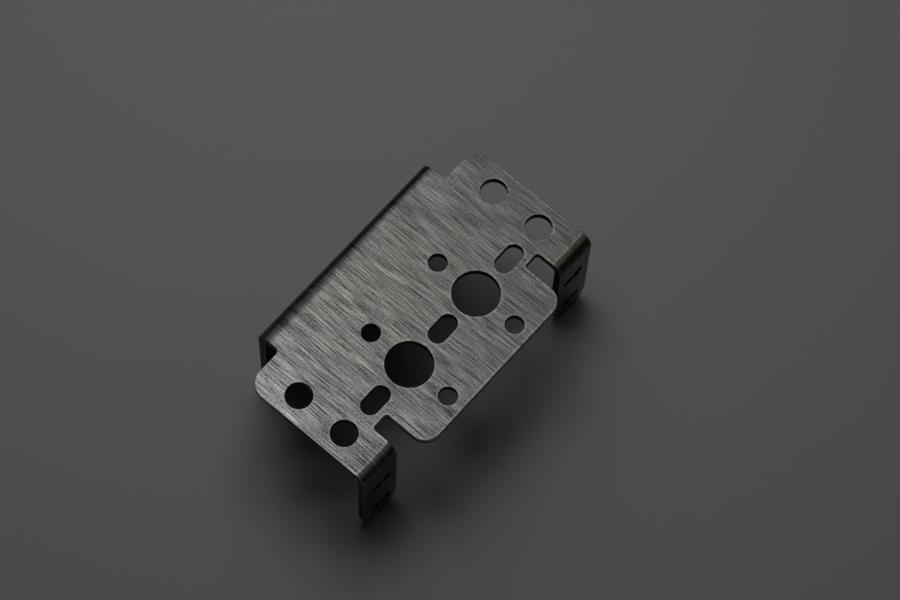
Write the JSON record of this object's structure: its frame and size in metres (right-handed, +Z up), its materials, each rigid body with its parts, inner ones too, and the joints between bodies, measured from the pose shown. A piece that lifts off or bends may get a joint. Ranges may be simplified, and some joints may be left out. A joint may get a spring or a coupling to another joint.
{
  "type": "servo bracket",
  "caption": "Folded sheet-metal bracket that holds a standard hobby servo under a perforated plate, with a rear flange and two front ear tabs; part of a pan and tilt camera mount.",
  "frame": {"origin": "on the ground under the middle of the bracket's bounding box", "axes": "+X along the plate, +Y from the tabs towards the rear flange, +Z up, out of the plate's top face"},
  "size_m": [0.058, 0.0344, 0.0235],
  "materials": {
    "dark_metal": "brushed and black anodised, satin"
  },
  "bodies": {
    "root": {"servo_bracket": "dark_metal"}
  },
  "joints": []
}
